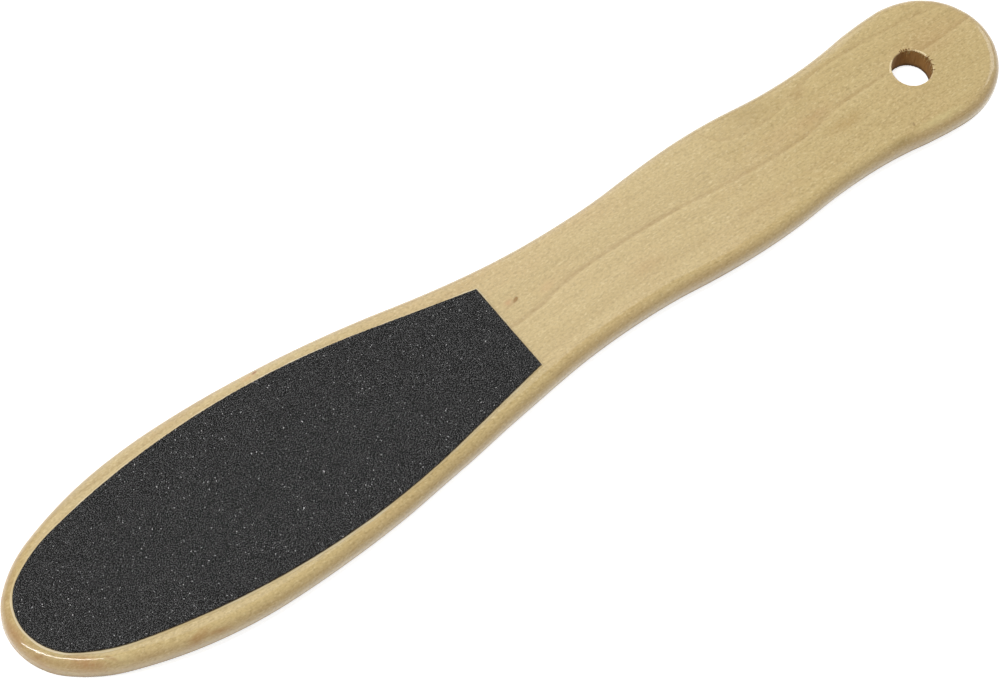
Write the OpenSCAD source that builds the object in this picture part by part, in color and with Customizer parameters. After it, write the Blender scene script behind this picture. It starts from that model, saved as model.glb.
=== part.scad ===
// Foot file: a flat wooden paddle, with a sheet of abrasive paper glued to each face of its blade.
// X runs from the blade's tip to the handle's end and Z up out of the coarse face.
// The origin is under the middle of the length, on the surface that the fine face lies on.

/* [Lengths along the paddle] */
// From the blade's tip to its widest place
tip_len = 53.8; // [50:0.1:60]
// From the widest place to the neck
taper_len = 105.9; // [90:0.1:120]
// From the neck to the swell of the grip
neck_len = 30.7; // [26:0.1:36]
// From the swell of the grip to the waist
grip_len = 28.8; // [25:0.1:34]
// From the waist to the widest place of the end
waist_len = 27.8; // [24:0.1:33]
// From there to the handle's end
end_len = 18.0; // [16.5:0.1:20]

/* [Widths across the paddle] */
// Blade at its widest
blade_w = 49.6; // [46:0.1:54]
// Neck
neck_w = 28.9; // [25:0.1:31]
// Swell of the grip
grip_w = 32.2; // [31.5:0.1:36]
// Waist before the end
waist_w = 29.0; // [25:0.1:31]
// Handle's end at its widest
end_w = 33.1; // [31.5:0.1:36]

/* [Wood] */
// Thickness of the wood
wood_t = 6.2; // [5.4:0.1:8]
// Radius of the rounding along all edges
edge_r = 2.7; // [1:0.1:3]

/* [Hang hole] */
// Diameter
hole_d = 9.1; // [6:0.1:10]
// From the handle's end to the hole's centre
hole_from_end = 21; // [18:0.1:25]
// From the paddle's axis to the hole's centre
hole_side = -0.25; // [-1:0.05:1]

/* [Abrasive pads] */
// Length from the rounded tip to the straight cut end
pad_len = 127.3; // [110:0.1:140]
// Bare wood between the blade's tip and the pad's
pad_tip_gap = 2.8; // [2:0.1:5]
// From the pad's tip to its widest place
pad_wide_at = 62.3; // [54:0.1:70]
// Bare wood beside the pad, where the blade and the pad are widest
pad_side_gap = 4.0; // [3:0.1:6]
// Bare wood beside the pad at its cut end
pad_end_gap = 4.9; // [3:0.1:6]
// Angle that the coarse pad was laid on at, degrees
pad_turn = -0.56; // [-1:0.01:1]
// Glue film, both pads
film_t = 0.12; // [0.05:0.01:0.3]
// Paper backing of the coarse pad
coarse_paper_t = 0.28; // [0.15:0.01:0.5]
// Grit coat of the coarse pad
coarse_grit_t = 0.32; // [0.2:0.01:0.6]
// Paper backing of the fine pad
fine_paper_t = 0.25; // [0.15:0.01:0.5]
// Grit coat of the fine pad
fine_grit_t = 0.18; // [0.1:0.01:0.4]

/* [Hidden] */
// Radius of the blade's tip and of the handle's end, seen from above, as shares of half the width there
tip_share = 0.617;
end_share = 0.96;
// Shares of an oval's quarter turn that are done at the end of its first and its second arc
blade_turn_shares = [0.52, 0.78];
end_turn_shares = [0.44, 0.72];
pad_turn_shares = [0.645, 0.851];
// Share of each s-curve's radii that its first arc has: taper, neck, grip and waist
curve_shares = [0.56, 0.345, 0.535, 0.555];
// Turn of the pad's sides to its cut end, against the straight line between the same two points
pad_side_share = 1.43;

// Places along the paddle, from the blade's tip
neck_x = tip_len + taper_len;
grip_x = neck_x + neck_len;
waist_x = grip_x + grip_len;
end_x = waist_x + waist_len;
length = end_x + end_len;
hole_x = length - hole_from_end;
tip_r = tip_share * blade_w / 2;
end_r = end_share * end_w / 2;
// Levels, from the surface that the part lies on
fine_t = film_t + fine_paper_t + fine_grit_t;
wood_z = fine_t;
face_z = wood_z + wood_t;
// Each rounding takes at most this share of the wood, so that a flat band stays between the two
round_share = 0.45;
round_r = min(edge_r, round_share * wood_t);
// Cuts run past the wood by this much
over = wood_t / 2;
// How far a straight step may leave the arc that it stands for
step_error = wood_t / 200;
$fn = 128;

// An arc is [centre x, centre y, radius, from, to]. The angles are those of the outline's outward normal,
// and a hollow arc's radius is negative, so that a point of any arc is its centre + radius * normal.
function normal(a) = [cos(a), sin(a)];
function arc_point(arc, a, inset) = [arc[0], arc[1]] + (arc[2] - inset) * normal(a);
function arc_steps(r, turn) = max(2, ceil(abs(turn) * PI / 180 * sqrt(abs(r) / (8 * step_error))));
function arc_points(arc, inset) =
    let (steps = arc_steps(arc[2], arc[4] - arc[3]))
    [for (i = [0 : steps - 1]) arc_point(arc, arc[3] + (arc[4] - arc[3]) * i / steps, inset)];
function chain_points(arcs, inset) = [for (arc = arcs) each arc_points(arc, inset)];

// Quarter of an oval, from its tip on the axis at x to the place len further on where it is half wide.
// The first arc's radius is given, and the other two follow from where they have to end.
function oval(x, len, half, r, turn_shares) =
    let (
        turns = 90 * turn_shares,
        c = [cos(turns[0]), cos(turns[1])],
        s = [sin(turns[0]), sin(turns[1])],
        dx = len - r * (1 - c[0]),
        dy = half - r * s[0],
        det = (c[0] - c[1]) * (1 - s[1]) - c[1] * (s[1] - s[0]),
        r2 = (dx * (1 - s[1]) - dy * c[1]) / det,
        r3 = (dy * (c[0] - c[1]) - dx * (s[1] - s[0])) / det,
        c1 = [x + r, 0],
        c2 = c1 + (r - r2) * normal(180 - turns[0]),
        c3 = c2 + (r2 - r3) * normal(180 - turns[1])
    )
    [
        [c1[0], c1[1], r, 180, 180 - turns[0]],
        [c2[0], c2[1], r2, 180 - turns[0], 180 - turns[1]],
        [c3[0], c3[1], r3, 180 - turns[1], 90]
    ];

// The same oval the other way round, ending on the axis at x
function oval_end(x, len, half, r, turn_shares) =
    let (arcs = oval(-x, len, half, r, turn_shares))
    [for (i = [2 : -1 : 0]) [-arcs[i][0], arcs[i][1], arcs[i][2], 180 - arcs[i][4], 180 - arcs[i][3]]];

// Two arcs that meet in a smooth s, level at both ends
function s_curve(x0, half0, x1, half1, share) =
    let (
        r = (pow(x1 - x0, 2) + pow(half1 - half0, 2)) / (2 * (half0 - half1)),
        turn = asin((x1 - x0) / r)
    )
    [
        [x0, half0 - share * r, share * r, 90, 90 - turn],
        [x1, half1 + (1 - share) * r, (share - 1) * r, 90 - turn, 90]
    ];

// One side of the paddle's outline, from the blade's tip to the handle's end
paddle_side = concat(
    oval(0, tip_len, blade_w / 2, tip_r, blade_turn_shares),
    s_curve(tip_len, blade_w / 2, neck_x, neck_w / 2, curve_shares[0]),
    s_curve(neck_x, neck_w / 2, grip_x, grip_w / 2, curve_shares[1]),
    s_curve(grip_x, grip_w / 2, waist_x, waist_w / 2, curve_shares[2]),
    s_curve(waist_x, waist_w / 2, end_x, end_w / 2, curve_shares[3]),
    oval_end(length, end_len, end_w / 2, end_r, end_turn_shares)
);

// Half the paddle's width at a place along it
function half_width(x) =
    [for (arc = paddle_side)
        let (c = (x - arc[0]) / arc[2])
        if (x >= arc_point(arc, arc[3], 0)[0] && x < arc_point(arc, arc[4], 0)[0])
            arc[1] + arc[2] * sqrt(1 - c * c)][0];

// One side of a pad's outline: an oval tip, a side arc and a straight run to the corner of the cut end
pad_half = blade_w / 2 - pad_side_gap;
pad_end_x = pad_tip_gap + pad_len;
pad_end_half = half_width(pad_end_x) - pad_end_gap;
pad_wide_x = pad_tip_gap + pad_wide_at;
pad_fall = pad_half - pad_end_half;
pad_run = pad_end_x - pad_wide_x;
pad_bend = pad_side_share * atan(pad_fall / pad_run);
pad_side_r = (pad_run * sin(pad_bend) - pad_fall * cos(pad_bend)) / (1 - cos(pad_bend));
pad_side = concat(
    chain_points(oval(pad_tip_gap, pad_wide_at, pad_half, tip_r - pad_tip_gap, pad_turn_shares), 0),
    arc_points([pad_wide_x, pad_half - pad_side_r, pad_side_r, 90, 90 - pad_bend], 0),
    [arc_point([pad_wide_x, pad_half - pad_side_r, pad_side_r], 90 - pad_bend, 0)],
    [[pad_end_x, pad_end_half], [pad_end_x, 0]]
);

// Closes a side, whose first and last points lie on the axis, into the whole outline
function both_sides(side) =
    concat(side, [for (i = [len(side) - 2 : -1 : 1]) [side[i][0], -side[i][1]]]);

// Section through the paddle's edge, from the lower face round to the upper one: [inset, height] for each row
edge_steps = arc_steps(round_r, 90);
edge_rows = concat(
    [for (i = [0 : edge_steps]) let (a = 90 * i / edge_steps) round_r * [1 - sin(a), 1 - cos(a)]],
    [for (i = [0 : edge_steps])
        let (a = 90 * i / edge_steps) [0, wood_t] + round_r * [1 - cos(a), sin(a) - 1]]
);

// The paddle without its hole: rings of points, one for each row of the edge's section, are joined by
// squares into a band, and each face is closed by strips that run from one side to the other
module paddle_blank() {
    rings = [for (row = edge_rows)
        let (side = concat(chain_points(paddle_side, row[0]), [[length - row[0], 0]]))
        [for (p = both_sides(side)) [p[0], p[1], row[1]]]];
    n = len(rings[0]);
    half = n / 2;
    top = (len(rings) - 1) * n;
    band = [for (j = [0 : len(rings) - 2], i = [0 : n - 1])
        let (a = j * n + i, b = j * n + (i + 1) % n) [a, a + n, b + n, b]];
    strips = concat(
        [[0, 1, n - 1]],
        [for (i = [1 : half - 2]) [i, i + 1, n - i - 1, n - i]],
        [[half - 1, half, half + 1]]
    );
    polyhedron(
        points = [for (ring = rings) each ring],
        faces = concat(band, strips, [for (s = strips) [for (k = [len(s) - 1 : -1 : 0]) top + s[k]]])
    );
}

// Solid hardwood, blade and handle in one piece
module paddle() {
    color("#cfb181")
        translate([-length / 2, 0, wood_z])
            difference() {
                paddle_blank();
                translate([hole_x, hole_side, -over]) cylinder(h = wood_t + 2 * over, d = hole_d);
            }
}

// One layer of a pad, cut to the pad's outline
module pad_layer(z, t, turn) {
    middle = (pad_tip_gap + pad_end_x) / 2;
    translate([middle - length / 2, 0, z])
        rotate([0, 0, turn])
            translate([-middle, 0, 0]) linear_extrude(t) polygon(both_sides(pad_side));
}

module coarse_adhesive() {
    color("#d9cfa8") pad_layer(face_z, film_t, pad_turn);
}

module coarse_backing() {
    color("#3a3532") pad_layer(face_z + film_t, coarse_paper_t, pad_turn);
}

module coarse_grit() {
    color("#2c2d2f") pad_layer(face_z + film_t + coarse_paper_t, coarse_grit_t, pad_turn);
}

module fine_grit() {
    color("#3c3d40") pad_layer(0, fine_grit_t, 0);
}

module fine_backing() {
    color("#45403c") pad_layer(fine_grit_t, fine_paper_t, 0);
}

module fine_adhesive() {
    color("#d9cfa8") pad_layer(fine_grit_t + fine_paper_t, film_t, 0);
}

paddle();
coarse_adhesive();
coarse_backing();
coarse_grit();
fine_adhesive();
fine_backing();
fine_grit();
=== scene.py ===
"""A wooden foot file: a maple paddle with a sheet of abrasive paper glued to each face of its blade."""
import math

import bpy
import numpy as np
from mathutils import Matrix, Vector


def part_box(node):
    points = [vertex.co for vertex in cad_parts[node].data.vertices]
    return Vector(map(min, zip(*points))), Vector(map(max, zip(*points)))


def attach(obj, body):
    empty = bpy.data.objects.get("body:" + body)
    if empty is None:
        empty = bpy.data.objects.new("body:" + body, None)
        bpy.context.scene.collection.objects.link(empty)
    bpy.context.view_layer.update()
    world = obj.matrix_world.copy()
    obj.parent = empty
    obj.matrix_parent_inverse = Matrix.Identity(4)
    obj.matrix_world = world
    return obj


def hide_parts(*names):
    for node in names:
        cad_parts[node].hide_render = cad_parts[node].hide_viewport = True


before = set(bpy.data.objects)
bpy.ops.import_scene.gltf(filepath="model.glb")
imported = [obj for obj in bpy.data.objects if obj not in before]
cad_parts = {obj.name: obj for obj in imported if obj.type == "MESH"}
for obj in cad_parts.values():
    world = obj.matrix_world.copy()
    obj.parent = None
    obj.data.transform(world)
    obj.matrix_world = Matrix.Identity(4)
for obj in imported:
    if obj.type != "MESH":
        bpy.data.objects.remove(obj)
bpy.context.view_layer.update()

# Camera. It stands well back over the near side of the blade and looks steeply down along a long
# lens, so that the paddle crosses the picture from the blade's tip to the handle's end.
MM = 0.001
PHOTO_WIDTH = 1000
FOCAL_PIXELS = 7060
SENSOR_MM = 36
AIM = Vector((-5.6, -1.9, 6.8)) * MM
AWAY = 1507 * MM
AZIMUTH, ELEVATION, ROLL = (math.radians(a) for a in (-136.01, 58.84, -8.96))

camera = bpy.data.objects.new("camera", bpy.data.cameras.new("camera"))
bpy.context.scene.collection.objects.link(camera)
camera.data.sensor_width = SENSOR_MM
camera.data.lens = FOCAL_PIXELS * SENSOR_MM / PHOTO_WIDTH

# Unit vector from the aim back to the camera, with the azimuth counted from +X towards +Y
level_part = math.cos(ELEVATION)
back = Vector((math.cos(AZIMUTH) * level_part, math.sin(AZIMUTH) * level_part, math.sin(ELEVATION)))
turned = back.to_track_quat("Z", "Y").to_matrix().to_4x4() @ Matrix.Rotation(-ROLL, 4, "Z")
camera.matrix_world = Matrix.Translation(AIM + AWAY * back) @ turned
bpy.context.scene.camera = camera

# Paddle. One board of pale maple, sawn to outline, drilled for its hang hole, sanded round along its
# edges and dipped in clear lacquer. The drill tore short fibres out of the hole's rim where it left.
wood_low, wood_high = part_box("paddle")
LENGTH = wood_high.x - wood_low.x
# Places along the paddle from the blade's tip, and half the width there: blade, neck, grip, waist, end
PLACES = np.array([53.8, 159.7, 190.4, 219.2, 247.0]) * MM
HALVES = np.array([49.6, 28.9, 32.2, 29.0, 33.1]) / 2 * MM
# Each s-curve's first radius and the ovals' tip radii and turns, as shares, as the solid has them
CURVE_SHARES = (0.56, 0.345, 0.535, 0.555)
TIP_SHARE, END_SHARE = 0.617, 0.96
BLADE_TURN_SHARES, END_TURN_SHARES = (0.52, 0.78), (0.44, 0.72)
HOLE = np.array([111.5, -0.25]) * MM
HOLE_RADIUS = 4.55 * MM
ROUND = 2.7 * MM


def normal(angle):
    """Unit vectors in the plane at the given angles, in radians."""
    return np.stack([np.cos(angle), np.sin(angle)], -1)


def oval(x, run, half, radius, turn_shares):
    """Three tangent arcs from the axis at x to where the oval is half wide, run further on. The first
    radius is given, and the other two solve the pair of equations for the end of the third arc.
    An arc is centre x, centre y, radius, and the first and last angle of its outward normal."""
    a, b = (math.pi / 2 * share for share in turn_shares)
    ends = np.array([
        [math.cos(a) - math.cos(b), math.cos(b)],
        [math.sin(b) - math.sin(a), 1 - math.sin(b)],
    ])
    second, third = np.linalg.solve(ends, [run - radius * (1 - math.cos(a)), half - radius * math.sin(a)])
    c1 = np.array([x + radius, 0.0])
    c2 = c1 + (radius - second) * normal(math.pi - a)
    c3 = c2 + (second - third) * normal(math.pi - b)
    return [
        (*c1, radius, math.pi, math.pi - a),
        (*c2, second, math.pi - a, math.pi - b),
        (*c3, third, math.pi - b, math.pi / 2),
    ]


def s_curve(x0, half0, x1, half1, share):
    """Two tangent arcs, level at both ends. Their radii add up to (run² + fall²) / (2 fall), and the
    first has the given share. A hollow arc's radius is negative."""
    radius = ((x1 - x0) ** 2 + (half1 - half0) ** 2) / (2 * (half0 - half1))
    bend = math.asin((x1 - x0) / radius)
    level = math.pi / 2
    return [
        (x0, half0 - share * radius, share * radius, level, level - bend),
        (x1, half1 + (1 - share) * radius, (share - 1) * radius, level - bend, level),
    ]


ARC_STEPS = 400


def walk(arcs):
    """Points along a chain of arcs, each centre + radius * normal, with the angle of the normal there."""
    arcs = np.array(arcs)
    angle = arcs[:, 3:4] + (arcs[:, 4:5] - arcs[:, 3:4]) * np.linspace(0, 1, ARC_STEPS)
    points = arcs[:, None, :2] + arcs[:, None, 2:3] * normal(angle)
    return np.concatenate([points, angle[..., None]], -1).reshape(-1, 3)


def resample(chain, count, measure=None):
    """Takes count points of a chain at even steps of its length, or of another rising measure."""
    if measure is None:
        measure = np.r_[0, np.cumsum(np.hypot(*np.diff(chain[:, :2], axis=0).T))]
    at = np.linspace(measure[0], measure[-1], count)
    return np.stack([np.interp(at, measure, column) for column in chain.T], -1)


arcs = oval(0, PLACES[0], HALVES[0], TIP_SHARE * HALVES[0], BLADE_TURN_SHARES)
for i, share in enumerate(CURVE_SHARES):
    arcs += s_curve(PLACES[i], HALVES[i], PLACES[i + 1], HALVES[i + 1], share)
end_oval = oval(-LENGTH, LENGTH - PLACES[-1], HALVES[-1], END_SHARE * HALVES[-1], END_TURN_SHARES)
arcs += [(-x, y, r, math.pi - b, math.pi - a) for x, y, r, a, b in reversed(end_oval)]
upper_side = walk(arcs) + [wood_low.x, 0, 0]
loop = np.r_[upper_side, (upper_side * [1, -1, -1])[::-1]]

# Columns of the surface: a third each goes by the outline's length, by its turning and by its turn
# about the hole
AROUND = 1000
steps = np.diff(loop, axis=0)
about_hole = np.unwrap(np.arctan2(loop[:, 1] - HOLE[1], loop[:, 0] - HOLE[0]))
measures = [np.hypot(*steps[:, :2].T), np.abs(steps[:, 2]), np.abs(np.diff(about_hole))]
ring = resample(loop, AROUND + 1, np.r_[0, np.cumsum(sum(m / m.sum() for m in measures))])[:-1]
ring, out = ring[:, :2], normal(ring[:, 2])

# Sanded by eye, the outline strays from the true one by up to a third of a millimetre: side of the
# axis, place along it, half length and outward swell in mm
SWELLS = (
    (-1, -36, 9, -0.22), (-1, -7, 11, 0.32), (-1, 31, 7, 0.1), (-1, 100, 15, -0.18),
    (1, -86, 13, -0.2), (1, 9, 18, -0.25), (1, 44, 9, -0.16), (1, 101, 8, 0.08),
)
for side, place, reach, swell in SWELLS:
    near = np.exp(-((ring[:, 0] / MM - place) / reach) ** 2) * (ring[:, 1] * side > 0)
    ring += (swell * MM * near)[:, None] * out


def round_over(edge, outward, radius, level, up, rows):
    """Rows of a quarter round from a level face to an upright wall. In the plane they lie at
    edge - radius (1 - sin a) outward, and in height at level - up radius (1 - cos a), with a from 0 to
    90 degrees."""
    a = np.linspace(0, math.pi / 2, rows)[:, None]
    plane = edge - (radius * (1 - np.sin(a)))[..., None] * outward
    height = level - up * radius * (1 - np.cos(a))
    return np.concatenate([plane, height[..., None]], -1)


# Sanding by hand leaves the rounding a little wider here and tighter there: number of waves round the
# outline, share and phase
phase = np.arange(AROUND) / AROUND * 2 * math.pi
waves = ((7, 0.35, 0.4), (13, 0.3, 2.1), (23, 0.2, 4.0), (41, 0.15, 1.2))
SANDING_SHARE = 0.05
rounding = ROUND * (1 + SANDING_SHARE * sum(s * np.sin(k * phase + p) for k, s, p in waves))
EDGE_ROWS = 12
top_edge = round_over(ring, out, rounding, wood_high.z, 1, EDGE_ROWS)
low_edge = round_over(ring, out, rounding, wood_low.z, -1, EDGE_ROWS)

# The rows of the flat faces end a little inside the rounding. The waists are let out until that outline
# is a plain taper, which straight rays from the hole meet all round.
FACE_MARGIN = 0.4 * MM
inner = top_edge[0, :, :2] - FACE_MARGIN * out
half_at = inner[:AROUND // 2]
taper_x = wood_low.x + PLACES[[0, -1]]


def let_out(points, back=False):
    """Stretches widths by taper / half width between the widest places of blade and end, or back."""
    half = np.interp(points[..., 0], *half_at.T)
    taper = np.interp(points[..., 0], taper_x, np.interp(taper_x, *half_at.T))
    between = (points[..., 0] > taper_x[0]) & (points[..., 0] < taper_x[1])
    grow = np.where(between, taper / half, 1)
    return points * np.stack([np.ones_like(grow), 1 / grow if back else grow], -1)


outer = let_out(inner)
ray = (outer - HOLE) / np.hypot(*(outer - HOLE).T)[:, None]
bearing = np.degrees(np.arctan2(*ray.T[::-1]))
rng = np.random.default_rng(11)
# Where fibres tore out of the rim: bearing and half width in degrees, depth in mm
NICKS = (
    (84, 1.5, 0.25), (79, 1.5, 0.5), (73, 2.0, 0.3), (66, 3.0, 0.25), (58, 1.2, 0.4),
    (2, 1.2, 0.3), (-10, 1.2, 0.35), (-24, 2.0, 0.15), (-40, 1.5, 0.3),
)
nicks = 0
for at, wide, deep in NICKS:
    nicks = np.maximum(nicks, deep * MM * np.exp(-((bearing - at) / wide) ** 2))
# Where the rim is painted pale, a painted highlight along its rounding: bearing and half width in degrees
PAINTED_RIM_HIGHLIGHTS = ((140, 20), (26, 17))
HOLE_ROUND = 0.25 * MM
HOLE_ROWS = 5
WALL_ROWS = 9
# The drill's scores down the wall, as noise in mm with its running mean taken over so many columns
SCORE_DEPTH, SCORE_SPAN = 0.05, 7
scores = rng.normal(0, SCORE_DEPTH, AROUND + SCORE_SPAN - 1)
scores = np.convolve(scores, np.ones(SCORE_SPAN) / SCORE_SPAN, "valid") * MM
bore = HOLE + (HOLE_RADIUS + scores[:, None]) * ray
painted_rim_highlight = sum(np.abs(bearing - at) < wide for at, wide in PAINTED_RIM_HIGHLIGHTS)
top_rim = round_over(bore, -ray, HOLE_ROUND + nicks, wood_high.z, 1, HOLE_ROWS)
low_rim = round_over(bore, -ray, np.full(AROUND, HOLE_ROUND), wood_low.z, -1, HOLE_ROWS)
wall = low_rim[-1] + (top_rim[-1] - low_rim[-1]) * np.linspace(0, 1, WALL_ROWS)[1:-1, None, None]

# Enough rows that neighbouring rays, bent through the neck, don't cross. The last step is about nine
# times the first.
FACE_ROWS = 24
SPREAD = 10
growth = (np.geomspace(1, SPREAD, FACE_ROWS) - 1)[1:, None, None] / (SPREAD - 1)


def face_rows(rim, level):
    """Rows of a flat face from the hole's rim to the outline, on rays that are straight once let out."""
    start = let_out(rim[0, :, :2])
    plane = let_out(start + (outer - start) * growth, back=True)
    return np.concatenate([plane, np.full((*plane.shape[:-1], 1), level)], -1)


def add_mesh(name, points, faces, smooth=True):
    """A mesh object of the given points and faces, at the origin."""
    mesh = bpy.data.meshes.new(name)
    mesh.from_pydata(points.reshape(-1, 3), [], faces)
    mesh.polygons.foreach_set("use_smooth", np.full(len(mesh.polygons), smooth))
    mesh.update()
    piece = bpy.data.objects.new(name, mesh)
    bpy.context.scene.collection.objects.link(piece)
    return piece


def squares(rows, columns, join_rows=True, join_columns=True):
    """Faces of a rows by columns grid of points, numbered row by row. The last row and the last column are
    joined to the first, unless told otherwise."""
    i = np.arange(rows if join_rows else rows - 1)[:, None]
    j = np.arange(columns if join_columns else columns - 1)
    below, beside = (i + 1) % rows, (j + 1) % columns
    corners = [i * columns + j, i * columns + beside, below * columns + beside, below * columns + j]
    return np.stack(corners, -1).reshape(-1, 4)


def paint(piece, name, values, domain="POINT"):
    """Stores one number for each point or face, for the material to read."""
    layer = piece.data.attributes.new(name, "FLOAT", domain)
    layer.data.foreach_set("value", np.ravel(values).astype(np.float32))


blocks = [
    top_rim[::-1], face_rows(top_rim, wood_high.z), top_edge,
    low_edge[::-1], face_rows(low_rim, wood_low.z)[::-1], low_rim, wall,
]
surface = np.concatenate(blocks)
paddle = add_mesh("paddle_wood", surface, squares(*surface.shape[:2]))
facing = np.empty(surface.size)
paddle.data.vertex_normals.foreach_get("vector", facing)
facing = facing.reshape(-1, 3)
paint(paddle, "end_grain", np.abs(facing[:, 0]))
paint(paddle, "edge", np.hypot(facing[:, 0], facing[:, 1]))
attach(paddle, "root")
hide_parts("paddle")


def colour(hex_code):
    """Linear RGBA of an sRGB hex colour."""
    srgb = np.array([int(hex_code[i:i + 2], 16) for i in (1, 3, 5)]) / 255
    linear = np.where(srgb <= 0.04045, srgb / 12.92, ((srgb + 0.055) / 1.055) ** 2.4)
    return (*linear, 1.0)


def add(tree, kind, sockets=None, **settings):
    """Adds a node with its settings. Its sockets take a value, or a link where an output is given."""
    new = tree.nodes.new(kind)
    for key, value in settings.items():
        setattr(new, key, value)
    for key, value in (sockets or {}).items():
        if isinstance(value, bpy.types.NodeSocket):
            tree.links.new(value, new.inputs[key])
        else:
            new.inputs[key].default_value = value
    return new


def new_material(name, **sockets):
    """A material, its node tree and its shader, with the shader's constant sockets set."""
    made = bpy.data.materials.new(name)
    made.use_nodes = True
    shader = made.node_tree.nodes["Principled BSDF"]
    for key, value in sockets.items():
        shader.inputs[key.replace("_", " ")].default_value = value
    return made, made.node_tree, shader


def pattern(tree, place, size, detail=2.0, levels=(0.45, 0.7), strength=1.0):
    """Soft noise with features of the given size in mm along X, Y and Z, from 0 at the first level of the
    noise to the given strength at the second."""
    stretched = add(tree, "ShaderNodeMapping", {"Vector": place, "Scale": [1 / s for s in size]})
    noise = add(tree, "ShaderNodeTexNoise", {
        "Vector": stretched.outputs[0], "Scale": 1.0, "Detail": detail})
    return add(tree, "ShaderNodeMapRange", {
        "Value": noise.outputs["Fac"], "From Min": levels[0], "From Max": levels[1], "To Max": strength,
    }).outputs[0]


def stain(tree, under, hex_code, amount):
    """Lays a colour over another by the given amount, of which only the part above 0 counts."""
    return add(tree, "ShaderNodeMixRGB", {
        "Fac": amount, "Color1": under, "Color2": colour(hex_code)}).outputs[0]


def place_in_mm(tree):
    """The place on the object, in mm."""
    place = add(tree, "ShaderNodeTexCoord").outputs["Object"]
    return add(tree, "ShaderNodeMapping", {"Vector": place, "Scale": (1 / MM, 1 / MM, 1 / MM)}).outputs[0]


def curve(tree, value, points):
    """Reads a smooth curve through the given points, which span its range."""
    x, y = np.array(points).T
    at, height = (x - x[0]) / (x[-1] - x[0]), (y - y.min()) / np.ptp(y)
    along = add(tree, "ShaderNodeMapRange", {"Value": value, "From Min": x[0], "From Max": x[-1]})
    drawn = add(tree, "ShaderNodeFloatCurve", {"Value": along.outputs[0]})
    line = drawn.mapping.curves[0].points
    line[0].location, line[1].location = (0, height[0]), (1, height[-1])
    for place in zip(at[1:-1], height[1:-1]):
        line.new(*place)
    drawn.mapping.update()
    return add(tree, "ShaderNodeMapRange", {
        "Value": drawn.outputs[0], "To Min": y.min(), "To Max": y.max()}).outputs[0]


# Size in mm along, across and through the wood, detail, levels, strength and colour of each figure in it:
# growth bands, streaks, pink and pale patches, fibres, ray flecks, and the mottling of the pores
FIGURES = (
    ((150, 5.5, 9), 2.0, (0.45, 0.7), 0.2, "#a98e51"),
    ((60, 2.0, 3), 3.0, (0.48, 0.75), 0.12, "#a1874a"),
    ((35, 10, 9), 2.0, (0.5, 0.75), 0.2, "#bd935f"),
    ((30, 8, 8), 2.0, (0.5, 0.75), 0.2, "#cdb984"),
    ((9, 0.5, 0.5), 2.0, (0.48, 0.7), 0.13, "#957a3b"),
    ((1.8, 0.4, 0.35), 1.0, (0.52, 0.75), 0.25, "#88702f"),
    ((0.7, 0.45, 0.45), 1.0, (0.45, 0.75), 0.37, "#887038"),
    ((0.8, 0.4, 0.4), 1.0, (0.45, 0.2), 0.48, "#e2cf9d"),
)
# How dark each growth ring's line is and where it crosses the coarse face, as x and y in mm. They lie
# aslant in the board, so that they come out further over on the other face.
RINGS = (
    (0.62, (-135, 9), (-70, 5), (-20, 1), (0, -1), (4, -0.7), (8, -0.3), (14, 1), (26, 1.8), (42, 1.6),
     (58, 0.3), (76, -0.5), (84, 0.2), (93, 1.6), (106, 1.8), (135, 3)),
    (0.16, (-135, -60), (-100, -42), (-70, -26), (-45, -18.5), (-20, -13.5), (0, -10.8), (9, -10.3),
     (19, -8.9), (45, -8.5), (70, -8.4), (80, -7.6), (98, -6.9), (120, -6.9), (135, -7.4)),
    (0.42, (-135, 14), (-90, 21), (-40, 24), (30, 24), (58, 20), (62, 13.5), (65, 9.6), (69, 8.2),
     (75, 7.8), (81, 8.4), (88, 10.6), (96, 11.5), (106, 11.3), (120, 10), (127, 8.8), (135, 5)),
)
SLANT = 0.8
# Shade across a ring by the mm away from it: below 0 the pale line of the early wood, then the dark
# line of the late wood and its soft shade
RING_PROFILE = np.array([
    (-3, 0), (-1.2, -0.1), (-0.6, -0.4), (-0.3, 0), (0.2, 0.9), (0.7, 0.4), (1.4, 0.15), (3.5, 0)])
# The fibres wander by this many mm along X, Y and Z, over stretches of so many mm
WANDER, WANDER_SIZE = (0, 4, 2), (60, 25, 25)


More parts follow.
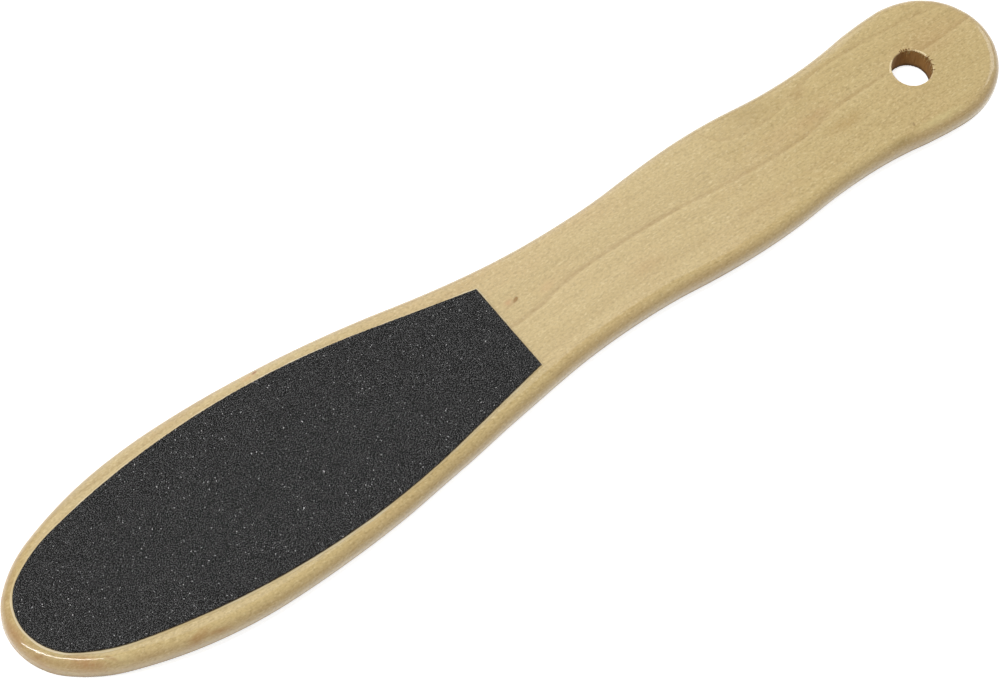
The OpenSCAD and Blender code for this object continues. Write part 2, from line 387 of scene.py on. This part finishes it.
def maple_figure(tree, mm):
    """Hard maple, sawn along the grain: straw coloured, with faint bands and fibres that wander by a
    millimetre or two, and a thin dark line wherever a growth ring meets the surface."""
    slow = add(tree, "ShaderNodeMapping", {"Vector": mm, "Scale": [1 / size for size in WANDER_SIZE]})
    drift = add(tree, "ShaderNodeTexNoise", {"Vector": slow.outputs[0], "Scale": 1.0, "Detail": 1.0})
    grain = add(tree, "ShaderNodeVectorMath", {
        0: drift.outputs["Color"], 1: WANDER, 2: mm,
    }, operation="MULTIPLY_ADD").outputs[0]
    wood = colour("#c4ac74")
    for size, detail, levels, strength, tint in FIGURES:
        wood = stain(tree, wood, tint, pattern(tree, grain, size, detail, levels, strength))
    axes = add(tree, "ShaderNodeSeparateXYZ", {0: mm}).outputs
    across = add(tree, "ShaderNodeMath", {0: axes["Z"], 1: SLANT, 2: axes["Y"]}, operation="MULTIPLY_ADD")
    across = add(tree, "ShaderNodeMath", {
        0: across.outputs[0], 1: SLANT * wood_high.z / MM}, operation="SUBTRACT")
    uneven_ring = pattern(tree, mm, (9, 3, 3), 3.0, (0.1, 0.9))
    for strength, *ring_line in RINGS:
        away = add(tree, "ShaderNodeMath", {
            0: across.outputs[0], 1: curve(tree, axes["X"], ring_line)}, operation="SUBTRACT")
        profile = curve(tree, away.outputs[0], RING_PROFILE * [1, strength])
        shade = add(tree, "ShaderNodeMath", {0: profile, 1: uneven_ring}, operation="MULTIPLY")
        wood = stain(tree, wood, "#906c30", shade.outputs[0])
        pale_side = add(tree, "ShaderNodeMath", {
            0: shade.outputs[0], 1: -1.0}, operation="MULTIPLY", use_clamp=True)
        wood = stain(tree, wood, "#e0cc98", pale_side.outputs[0])
    return wood, grain


# Sanded maple under clear lacquer, which has flowed out smooth, so highlights are narrow over soft wood
maple, tree, shader = new_material(
    "lacquered_maple", Roughness=0.5, Specular_IOR_Level=0.1,
    Coat_Weight=1.0, Coat_Roughness=0.13, Coat_IOR=1.55)
mm = place_in_mm(tree)
wood, grain = maple_figure(tree, mm)

# Single marks in the coarse face, a small knot and its stains first: x, y, turn in degrees, half length
# and half width in mm, strength and colour. All reach equally deep, in mm.
MARKS = (
    (3.3, 4.0, 20, 1.1, 0.55, 2.2, "#8c6610"),
    (1.6, 4.3, 5, 1.6, 0.9, 0.5, "#bd8a56"),
    (1.4, 3.5, 12, 2.2, 0.4, 0.7, "#a07a40"),
    (11.0, 2.6, 10, 3.0, 1.2, 0.3, "#c0925c"),
    (15.5, 2.2, 8, 2.5, 0.8, 0.3, "#a88a4e"),
    (102.4, -11.7, 55, 0.7, 0.35, 0.8, "#6b4c24"),
    (105.4, -11.9, 5, 1.6, 0.25, 0.4, "#8a6431"),
    (90.5, -2.8, 0, 7.0, 2.4, 0.38, "#a5823f"),
    (32.0, -6.0, 0, 6.0, 1.6, 0.3, "#b08a4c"),
    (86.5, 9.0, 25, 4.0, 1.6, 0.4, "#9d7a3f"),
    (86.0, 2.6, 5, 6.0, 1.5, 0.3, "#a8804a"),
    (117.0, 2.0, 0, 9.0, 3.0, 0.2, "#a8824c"),
    (74.0, 11.5, 0, 11.0, 4.0, 0.4, "#a0864c"),
    (97.5, -13.6, -5, 4.0, 1.2, 0.5, "#85702e"),
    (108.0, -13.9, -5, 8.0, 1.3, 0.45, "#d0c288"),
    (-101.3, -21.6, 10, 4.2, 1.3, 0.8, "#a37839"),
    (-96.5, -22.8, -15, 4.0, 0.7, 0.7, "#a37839"),
    (-123.5, -13.2, -50, 6.0, 2.2, 0.6, "#a8713c"),
    (-118.6, -15.4, -55, 2.6, 0.5, 0.6, "#96682f"),
    (-117.0, -16.6, -35, 3.5, 1.6, 0.4, "#d6c48c"),
    (-131.6, 1.5, 85, 5.0, 1.6, 0.5, "#a8713c"),
    (-130.7, -5.7, -35, 2.2, 0.6, 0.6, "#96682f"),
    (-55.0, 22.0, 0, 2.4, 0.8, 0.35, "#c98f50"),
    (-53.1, 22.3, 8, 1.0, 0.4, 1.3, "#96600f"),
)
MARK_DEPTH = 4
speckled = pattern(tree, mm, (1.4, 0.5, 0.5), 3.0, (0.35, 0.6))
speckled = add(tree, "ShaderNodeMapRange", {"Value": speckled, "To Min": 0.55, "To Max": 1.1}).outputs[0]
for x, y, angle, long, wide, strength, tint in MARKS:
    local = add(tree, "ShaderNodeMapping", {
        "Vector": mm,
        "Location": (x, y, wood_high.z / MM),
        "Rotation": (0, 0, math.radians(angle)),
        "Scale": (long, wide, MARK_DEPTH),
    }, vector_type="TEXTURE")
    away = add(tree, "ShaderNodeVectorMath", {0: local.outputs[0]}, operation="LENGTH")
    inside = add(tree, "ShaderNodeMapRange", {
        "Value": away.outputs["Value"], "From Min": 1.0, "From Max": 0.2, "To Max": strength,
    })
    amount = add(tree, "ShaderNodeMath", {
        0: inside.outputs[0], 1: speckled}, operation="MULTIPLY", use_clamp=True)
    wood = stain(tree, wood, tint, amount.outputs[0])

# Over the rounding the colour turns darker and browner with the edge's tilt: partly lacquer gathered
# there, partly painted shade where the edge turns from the light. The foot of the edge is painted grey,
# a painted shadow of the shade under the file, and its lacquer coat is thinned there so that it mirrors
# less of the bright floor
edge = add(tree, "ShaderNodeAttribute", attribute_name="edge").outputs["Fac"]
gathered_lacquer_and_shade = curve(tree, edge, ((0, 0), (0.3, 0.02), (0.55, 0.14), (0.8, 0.26), (0.92, 0.24), (1, 0.2)))
wood = stain(tree, wood, "#8c6b42", gathered_lacquer_and_shade)
height = add(tree, "ShaderNodeSeparateXYZ", {0: mm}).outputs["Z"]
# Painted shade: the edge turns grey towards its foot
foot = add(tree, "ShaderNodeMapRange", {"Value": height, "From Min": 3.5, "From Max": 2.2, "To Max": 0.75})
wood = stain(tree, wood, "#605546", foot.outputs[0])
# The coat thins towards the foot, so that it mirrors less of the bright floor
lacquer = add(tree, "ShaderNodeMapRange", {
    "Value": height, "From Min": 2.4, "From Max": 3.8, "To Min": 0.1})
tree.links.new(lacquer.outputs[0], shader.inputs["Coat Weight"])

# End grain drinks more lacquer and turns browner
end_grain = add(tree, "ShaderNodeAttribute", attribute_name="end_grain").outputs["Fac"]
soaked = add(tree, "ShaderNodeMath", {
    0: end_grain, 1: pattern(tree, mm, (6, 3, 1.5), 3.0, (0.3, 0.7), 0.75),
}, operation="MULTIPLY")
wood = stain(tree, wood, "#9e7848", soaked.outputs[0])
tree.links.new(wood, shader.inputs["Base Color"])

# The fibres stand a few hundredths of a millimetre proud, and the lacquer over them only waves
ripple = add(tree, "ShaderNodeBump", {
    "Strength": 0.6, "Distance": 0.06 * MM, "Height": pattern(tree, mm, (9, 4, 4), 2.0, (0.2, 0.8)),
}).outputs[0]
fibres = add(tree, "ShaderNodeBump", {
    "Strength": 0.5, "Distance": 0.03 * MM, "Height": pattern(tree, grain, (8, 0.4, 0.4), 2.0, (0.2, 0.8)),
    "Normal": ripple,
}).outputs[0]
tree.links.new(fibres, shader.inputs["Normal"])
tree.links.new(ripple, shader.inputs["Coat Normal"])

# Maple as the drill left it: rough, dry and darker, with torn fibres down the wall
raw_maple, tree, shader = new_material("drilled_maple", Roughness=0.8, Specular_IOR_Level=0.2)
mm = place_in_mm(tree)
burnt, _ = maple_figure(tree, mm)
torn_down = pattern(tree, mm, (0.6, 0.6, 5), 2.0, (0.2, 0.65), 0.3)
burnt = stain(tree, burnt, "#a8702e", 0.75)
burnt = stain(tree, burnt, "#8f7350", pattern(tree, mm, (3, 3, 8), 2.0, (0.4, 0.7), 0.35))
burnt = stain(tree, burnt, "#4e2c0e", torn_down)
# The wall is painted paler on the blade's side, a painted light, and painted dark at its foot, a
# painted shadow. Under its rim it is dark brown. Axis, where the colour starts and where it is full in
# mm, its strength there, and the colour
axes = add(tree, "ShaderNodeSeparateXYZ", {0: mm}).outputs
for axis, start, full, amount, tint in (
    ("X", HOLE[0] / MM, HOLE[0] / MM - 3, 0.7, "#d8bc94"),
    ("Z", 2.0, 0.7, 0.9, "#20130a"),
    ("Z", 6.2, 6.7, 0.7, "#5f4424"),
):
    # Painted light and painted shadow on the wall, and its dark brown under the rim
    wall_light_shade_and_tone = add(tree, "ShaderNodeMapRange", {
        "Value": axes[axis], "From Min": start, "From Max": full, "To Max": amount})
    burnt = stain(tree, burnt, tint, wall_light_shade_and_tone.outputs[0])
tree.links.new(burnt, shader.inputs["Base Color"])
rough_wall = add(tree, "ShaderNodeBump", {"Strength": 0.8, "Distance": 0.1 * MM, "Height": torn_down})
tree.links.new(rough_wall.outputs[0], shader.inputs["Normal"])

# Torn fibres, bare of lacquer, are pale, and the same colour paints a highlight on the hole's rim
torn_and_highlit_maple, *_ = new_material(
    "torn_fibre_and_painted_highlight", Base_Color=colour("#e6d3a8"), Roughness=0.7, Specular_IOR_Level=0.2)

LACQUERED, DRILLED, TORN_AND_HIGHLIT = range(3)
for wooden in (maple, raw_maple, torn_and_highlit_maple):
    paddle.data.materials.append(wooden)
# The last two blocks, the hole's lower rim and its wall, are as drilled, and so are the nicks in its
# upper rim. That rim is painted pale in two places, a painted highlight.
OPEN_NICK = 0.1 * MM
# Painted highlight: the pale material on the rim's listed places
upper_rim = np.where(nicks > OPEN_NICK, DRILLED, np.where(painted_rim_highlight, TORN_AND_HIGHLIT, LACQUERED))
wood_kind = np.repeat([LACQUERED] * 5 + [DRILLED] * 2, [len(block) * AROUND for block in blocks])
wood_kind[:HOLE_ROWS * AROUND] = np.tile(upper_rim, HOLE_ROWS)
paddle.data.polygons.foreach_set("material_index", wood_kind)

# Splinters. Short maple fibres still hang on the torn rim of the hole, on its side away from the
# blade. Each is a three-sided sliver, rooted in the rim and curling over or down into the hole, and a
# few broad curls stand up beside it.
SPLINTER_RINGS, SPLINTER_SIDES = 7, 3
rng = np.random.default_rng(5)
# Bearing in degrees, length and thickness in mm, turn in radians, and rise and bend in mm
FIBRES_LOW, FIBRES_HIGH = (-50, 0.3, 0.04, -1.2, -1.3, -1.0), (86, 1.0, 0.1, 1.2, 0.1, -0.1)
CURLS = (
    (82, 1.4, 0.13, 2.2, 0.7, -0.3), (77, 1.2, 0.12, 2.6, 0.9, -0.6), (71, 1.5, 0.12, 1.3, 0.5, -0.5),
    (62, 1.7, 0.1, 2.62, 0.3, -0.1), (47, 1.5, 0.09, 2.37, 0.25, -0.1),
)
FIBRES = 70
# The last two curls are bare and pale, partly a painted highlight
PALE_CURLS = 2
# A splinter's root lies this far back from the hole's wall, and this far under the face
ROOT_BACK, ROOT_DEPTH = 0.12 * MM, 0.08 * MM
SPLINTERS = FIBRES + len(CURLS)
at, long, thick, swing, rise, curl = np.r_[rng.uniform(FIBRES_LOW, FIBRES_HIGH, (FIBRES, 6)), CURLS].T
at = np.radians(at)
# They point over the hole along the grain, each turned its own way
heading = np.where(np.cos(at) > 0, math.pi, 0) + swing
root = HOLE + (HOLE_RADIUS + ROOT_BACK) * normal(at)


def slivers(root, heading, long, thick, rise, curl):
    """Slivers along root + long t heading, at the height rise t + curl t², with a three-sided section that
    thins as (1 - t)^0.7 and stands across the heading."""
    along = np.linspace(0, 1, SPLINTER_RINGS)[:, None, None]
    centre = root + (long * MM)[:, None] * along * normal(heading)
    height = wood_high.z - ROOT_DEPTH + MM * (rise * along[..., 0] + curl * along[..., 0] ** 2)
    centre = np.concatenate([centre, height[..., None]], -1)
    half = (thick * MM * np.maximum(1 - along[..., 0], 0.02) ** 0.7)[..., None, None]
    corner = np.arange(SPLINTER_SIDES) * 2 * math.pi / SPLINTER_SIDES + math.pi / 2
    across = normal(heading + math.pi / 2)
    upright = np.broadcast_to(np.sin(corner)[None, :, None], (len(heading), SPLINTER_SIDES, 1))
    section = np.concatenate([np.cos(corner)[:, None] * across[:, None], upright], -1)
    return (centre[:, :, None] + half * section[None]).transpose(1, 0, 2, 3)


points = slivers(root, heading, long, thick, rise, curl)
one = squares(SPLINTER_RINGS, SPLINTER_SIDES, join_rows=False)
first = np.arange(SPLINTERS)[:, None] * SPLINTER_RINGS * SPLINTER_SIDES
sides = (first[..., None] + one).reshape(-1, 4).tolist()
cap = np.arange(SPLINTER_SIDES)
ends = (first + cap).tolist() + (first + SPLINTER_RINGS * SPLINTER_SIDES - 1 - cap).tolist()
splinters = add_mesh("hole_splinters", points, sides + ends, smooth=False)
for wooden in (maple, raw_maple, torn_and_highlit_maple):
    splinters.data.materials.append(wooden)
kind = np.where(np.arange(SPLINTERS) % 2, LACQUERED, DRILLED)
kind[-PALE_CURLS:] = TORN_AND_HIGHLIT
splinter_kind = np.concatenate([np.repeat(kind, len(one)), np.tile(kind, 2)])
splinters.data.polygons.foreach_set("material_index", splinter_kind)
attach(splinters, "root")

# Pads' outline. Each pad is die cut from sheet: an oval tip, a side arc that runs straight into the
# corner, and a straight cut end. The coarse one was laid on half a degree askew.
pad_low, pad_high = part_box("fine_grit")
PAD_WIDE_AT = 62.3 * MM
PAD_END_GAP = 4.9 * MM
PAD_TURN_SHARES = (0.645, 0.851)
PAD_SIDE_SHARE = 1.43
PAD_TURN = math.radians(-0.56)

tip_gap = pad_low.x - wood_low.x
end_half = np.interp(pad_high.x, *upper_side[:, :2].T) - PAD_END_GAP
run = pad_high.x - pad_low.x - PAD_WIDE_AT
fall = pad_high.y - end_half
bend = PAD_SIDE_SHARE * math.atan(fall / run)
side_radius = (run * math.sin(bend) - fall * math.cos(bend)) / (1 - math.cos(bend))
pad_arcs = oval(0, PAD_WIDE_AT, pad_high.y, TIP_SHARE * HALVES[0] - tip_gap, PAD_TURN_SHARES)
pad_arcs.append((PAD_WIDE_AT, pad_high.y - side_radius, side_radius, math.pi / 2, math.pi / 2 - bend))
pad_tip, pad_side = np.split(walk(pad_arcs) + [pad_low.x, 0, 0], [ARC_STEPS])
corner = [pad_high.x, end_half, pad_side[-1, 2]]
pad_side = np.r_[pad_side, [corner]]
cut_end = np.array([[pad_high.x, end_half, 0], [pad_high.x, 0, 0]])
MIRROR = [1, -1, -1]


def turned_pad(points, angle):
    """Turns points in the plane about the middle of the pad's length."""
    middle = np.array([(pad_low.x + pad_high.x) / 2, 0])
    c, s = math.cos(angle), math.sin(angle)
    return middle + (points - middle) @ np.array([[c, s], [-s, c]])


def pad_plate(name, node, turn, outset, spare, rows):
    """A closed plate: the pad's outline carried through rows of (share of the outset, height share), with
    a flat face over the first row and under the last. It has some outset to spare along the cut end."""
    low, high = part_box(node)
    half = resample(np.r_[pad_tip, pad_side, cut_end], len(outset) // 2 + 1)
    # The point nearest to the corner moves into it and faces half way round it
    half[np.hypot(*(half[:, :2] - corner[:2]).T).argmin()] = [*corner[:2], corner[2] / 2]
    ring = np.r_[half, (half * MIRROR)[-2:0:-1]]
    ring, out = ring[:, :2], normal(ring[:, 2])
    outset = outset + spare * np.isclose(ring[:, 0], pad_high.x, atol=0.01 * MM)
    rows = np.array(rows)
    plane = ring + (rows[:, :1] * outset)[..., None] * out
    height = low.z + (high.z - low.z) * rows[:, 1]
    height = np.broadcast_to(height[:, None, None], (*plane.shape[:2], 1))
    points = np.concatenate([turned_pad(plane, turn), height], -1)
    count = len(ring)
    band = squares(len(rows), count, join_rows=False).tolist()
    caps = [list(range(count)), list(range(len(rows) * count - 1, (len(rows) - 1) * count - 1, -1))]
    plate = add_mesh(name, points, band + caps)
    for cap in plate.data.polygons[-2:]:
        cap.use_smooth = False
    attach(plate, "root")
    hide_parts(node)
    return plate


# Glue. A thin film of clear contact glue under each pad. It was pressed out a little past the
# pad's edge and set there as a narrow, pale bead with a soft gloss.
RIM_POINTS = 1200
# Rows through the bead, as shares of its width and of the film's height, and its extra at the cut end
BEAD = ((0.0, 1.0), (0.45, 0.92), (0.8, 0.6), (1.0, 0.2), (1.0, 0.0), (0.0, 0.0))
END_BEAD = 0.2 * MM
rng = np.random.default_rng(3)


def uneven(count, low, high, smooth):
    """Values between low and high that change over about so many neighbours round a closed ring."""
    raw = rng.uniform(0, 1, count)
    window = np.hanning(smooth + 2)[1:-1]
    soft = np.convolve(np.r_[raw, raw[:smooth - 1]], window / window.sum(), "valid")
    soft = (soft - soft.min()) / (soft.max() - soft.min())
    return low + (high - low) * soft


glue, tree, shader = new_material(
    "set_contact_glue", Roughness=0.3, IOR=1.47, Coat_Weight=0.2, Coat_Roughness=0.1)
mm = place_in_mm(tree)
film = stain(tree, colour("#c9b382"), "#d8caa6", pattern(tree, mm, (14, 14, 14), 2.0, (0.42, 0.6), 0.7))
tree.links.new(film, shader.inputs["Base Color"])
for face, turn in (("coarse", PAD_TURN), ("fine", 0)):
    rows = BEAD if face == "coarse" else [(share, 1 - height) for share, height in BEAD[::-1]]
    pressed_out = uneven(RIM_POINTS, 0.3, 0.65, 24) * MM
    bead = pad_plate(face + "_glue_film", face + "_adhesive", turn, pressed_out, END_BEAD, rows)
    bead.data.materials.append(glue)

# Paper. Latex-filled kraft backing of each abrasive sheet, dyed dark. The die leaves its edge square,
# with fibres standing out, and along the cut end it shows a bare margin of a fifth of a millimetre.
PAPER_ROWS = ((1.0, 1.0), (1.0, 0.66), (1.0, 0.33), (1.0, 0.0))
BARE_END = 0.18 * MM
paper, tree, shader = new_material("latex_kraft_paper", Roughness=0.85, IOR=1.45)
mm = place_in_mm(tree)
pulp = stain(tree, colour("#423a2e"), "#65533a", pattern(tree, mm, (0.6, 0.6, 0.1), 3.0, (0.45, 0.7), 0.8))
tree.links.new(pulp, shader.inputs["Base Color"])
for face, turn in (("coarse", PAD_TURN), ("fine", 0)):
    fuzz = uneven(RIM_POINTS, 0.0, 0.09, 3) * MM
    sheet = pad_plate(face + "_paper", face + "_backing", turn, fuzz, BARE_END, PAPER_ROWS)
    sheet.data.materials.append(paper)

# Grit. Crushed silicon carbide, set in a coat of dark resin on the paper: grains of about 0.25 mm on the
# coarse pad. Those of the fine one, about 0.1 mm across, are drawn at 0.15 mm so that they show.
ALONG, ACROSS = 560, 150
# How far a grain strays from its place on the grid, and how far the die cut into the outer ones, as
# shares of the grid's step
STRAY_SHARE, CUT_SHARE = 0.38, 0.45
# The lowest grains lie this far under the highest, and most of them about half way
GRAIN_HEIGHT = 0.05 * MM
DEPTH_SPREAD = (1.6, 2.2)
# Mean and spread of the logarithm of a facet's tone, the share of the facets that are painted bright as
# glints, and the least and greatest tone of such a painted glint as powers of ten
TONE_LOG = (-0.56, 0.13)
GLINT_SHARE, GLINT_POWERS = 0.008, (0.4, 1.5)


def grit_coat(name, node, turn, up, seed):
    """A closed coat of sharp grains. Its free face is a Coons patch between the tip's arc, the two sides
    and the cut end: lower + upper sides + tip + end, less the blend of the four corners. Each point is
    then moved in the plane and in height at random, and flat facets between them are the grains. Each
    facet has a tone of its own, and a few are painted many times brighter, as glints."""
    rng = np.random.default_rng(seed)
    low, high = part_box(node)
    upper = resample(pad_side, ALONG)[:, :2]
    tip = resample(np.r_[(pad_tip * MIRROR)[::-1], pad_tip[1:]], ACROSS)[:, :2]
    u, v = np.linspace(0, 1, ALONG)[:, None, None], np.linspace(0, 1, ACROSS)[:, None]
    lower = upper * [1, -1]
    end = lower[-1] + v * (upper[-1] - lower[-1])
    plane = (1 - v) * lower[:, None] + v * upper[:, None] + (1 - u) * tip + u * end
    plane -= (1 - u) * ((1 - v) * tip[0] + v * tip[-1]) + u * ((1 - v) * end[0] + v * end[-1])
    reach = np.stack([np.gradient(plane, axis=0), np.gradient(plane, axis=1)])
    jitter = rng.uniform(-STRAY_SHARE, STRAY_SHARE, (2, ALONG, ACROSS, 1))
    jitter[:, [0, -1]] = jitter[:, :, [0, -1]] = 0
    rim = plane.copy()
    plane = plane + (jitter * reach).sum(0)
    for edge, inside in (
        (np.s_[0], np.s_[1]), (np.s_[-1], np.s_[-2]),
        (np.s_[:, 0], np.s_[:, 1]), (np.s_[:, -1], np.s_[:, -2]),
    ):
        cut = rng.uniform(0, CUT_SHARE, plane[edge].shape[:-1])[..., None]
        plane[edge] += cut * (rim[inside] - rim[edge])
    depth = GRAIN_HEIGHT * rng.beta(*DEPTH_SPREAD, (ALONG, ACROSS))
    free, base = (high.z, low.z) if up > 0 else (low.z, high.z)
    grains = np.concatenate([turned_pad(plane, turn), (free - up * depth)[..., None]], -1)
    grains = grains.reshape(-1, 3)
    index = np.arange(ALONG * ACROSS).reshape(ALONG, ACROSS)
    border = np.r_[index[:, 0], index[-1, 1:], index[-2::-1, -1], index[0, -2:0:-1]]
    foot = grains[border] * [1, 1, 0] + [0, 0, base]
    under = ALONG * ACROSS + np.arange(len(border))
    top = squares(ALONG, ACROSS, join_rows=False, join_columns=False)[:, ::-1]
    split = rng.random(len(top)) < 0.5
    top = np.where(split[:, None], top, np.roll(top, 1, axis=1))
    top = np.r_[top[:, [0, 1, 2]], top[:, [0, 2, 3]]]
    walls = np.stack([under, np.roll(under, -1), np.roll(border, -1), border], -1)
    faces = [*top.tolist(), *walls.tolist(), under[::-1].tolist()]
    if up < 0:
        faces = [face[::-1] for face in faces]
    coat = add_mesh(name, np.r_[grains, foot], faces, smooth=False)
    tone_and_glint = rng.lognormal(*TONE_LOG, len(faces))
    bright = rng.random(len(faces)) < GLINT_SHARE
    # Painted glints: a few facets are painted many times brighter
    tone_and_glint[bright] = 10 ** rng.uniform(*GLINT_POWERS, bright.sum())
    paint(coat, "tone_and_glint", tone_and_glint, "FACE")
    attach(coat, "root")
    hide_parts(node)
    return coat


def carbide(name, size, dark, light):
    """Silicon carbide in resin: near black between the grains, which are of the given size in mm, each
    with a pale crown, partly the grain's own tone and partly a painted highlight for the light that its
    cleaved faces mirror, and here and there a painted glint."""
    made, tree, shader = new_material(name, Roughness=0.45, Specular_IOR_Level=0.05)
    tone_and_glint = add(tree, "ShaderNodeAttribute", attribute_name="tone_and_glint").outputs["Fac"]
    grain = add(tree, "ShaderNodeTexVoronoi", {
        "Vector": place_in_mm(tree), "Scale": 1 / size}, voronoi_dimensions="2D").outputs
    # Painted highlight: a pale crown on each grain
    painted_crown_highlight = add(tree, "ShaderNodeMapRange", {"Value": grain["Distance"], "From Min": 0.45, "From Max": 0.0})
    painted_crown_highlight = add(tree, "ShaderNodeMath", {0: painted_crown_highlight.outputs[0], 1: 2.0}, operation="POWER").outputs[0]
    own = add(tree, "ShaderNodeSeparateColor", {0: grain["Color"]}).outputs[0]
    own = add(tree, "ShaderNodeMapRange", {"Value": own, "To Min": 0.18}).outputs[0]
    shade = add(tree, "ShaderNodeMath", {0: painted_crown_highlight, 1: own}, operation="MULTIPLY").outputs[0]
    shade = add(tree, "ShaderNodeMath", {0: shade, 1: tone_and_glint}, operation="MULTIPLY").outputs[0]
    tree.links.new(stain(tree, colour(dark), light, shade), shader.inputs["Base Color"])
    return made


coarse = grit_coat("coarse_grit_coat", "coarse_grit", PAD_TURN, up=1, seed=21)
coarse.data.materials.append(carbide("coarse_silicon_carbide", 0.24, "#070707", "#f8f8f8"))
fine = grit_coat("fine_grit_coat", "fine_grit", 0, up=-1, seed=22)
fine.data.materials.append(carbide("fine_silicon_carbide", 0.15, "#222223", "#e0e0e0"))

# Stage. A plain pale floor, white to the camera and in the lacquer, which keeps the file's shadow,
# under an even white surround and four plain studio lamps.
FLOOR_HALF = 3
FLOOR_DROP = 0.2 * MM
floor_points = np.array([[-1, -1, 0], [1, -1, 0], [1, 1, 0], [-1, 1, 0]]) * FLOOR_HALF - [0, 0, FLOOR_DROP]
floor = add_mesh("floor", floor_points, [[0, 1, 2, 3]])


def seen_directly(tree, otherwise, directly):
    """One strength for rays from the camera, in gloss or through glass, and another for all other light."""
    rays = add(tree, "ShaderNodeLightPath").outputs
    gloss = add(tree, "ShaderNodeMath", {
        0: rays["Is Camera Ray"], 1: rays["Is Glossy Ray"]}, operation="MAXIMUM")
    seen = add(tree, "ShaderNodeMath", {
        0: gloss.outputs[0], 1: rays["Is Transmission Ray"]}, operation="MAXIMUM")
    return add(tree, "ShaderNodeMapRange", {
        "Value": seen.outputs[0], "To Min": otherwise, "To Max": directly}).outputs[0]


pale, tree, shader = new_material(
    "pale_floor", Base_Color=colour("#ececec"), Roughness=0.9, Emission_Color=(1, 1, 1, 1))
tree.links.new(seen_directly(tree, 0.0, 0.78), shader.inputs["Emission Strength"])
floor.data.materials.append(pale)

world = bpy.data.worlds.new("surround")
bpy.context.scene.world = world
world.use_nodes = True
surround = world.node_tree.nodes["Background"]
surround.inputs["Color"].default_value = (1, 1, 1, 1)
world.node_tree.links.new(seen_directly(world.node_tree, 0.38, 1.0), surround.inputs["Strength"])

# A weak fill shines on the handle's end and into the hang hole. Two strips overhead draw the bright line
# along the near edge of the tip. A tall softbox leans behind the file and is mirrored softly by the
# lacquer of the blade, the neck and the far edge. Place in m, tilt and turn, size in m, power in W.
for name, place, tilt, turn, long, wide, power in (
    ("fill", (0.78, 0.05, 0.46), 60, 90, 0.45, 0.45, 1.6),
    ("strip", (-0.57, 0.01, 1.2), 0, -9, 1.06, 0.1, 7.4),
    ("far_strip", (-1.79, 0.38, 1.2), 0, -27, 1.6, 0.15, 15.8),
    ("softbox", (0.365, 0.936, 0.7015), -46.85, 0, 0.55, 1.65, 3.9),
):
    lamp = bpy.data.objects.new(name, bpy.data.lights.new(name, "AREA"))
    bpy.context.scene.collection.objects.link(lamp)
    lamp.data.shape = "RECTANGLE"
    lamp.data.size, lamp.data.size_y = long, wide
    lamp.data.energy = power
    lamp.location = place
    lamp.rotation_euler = (math.radians(tilt), 0, math.radians(turn))

bpy.context.scene.view_settings.view_transform = "Standard"
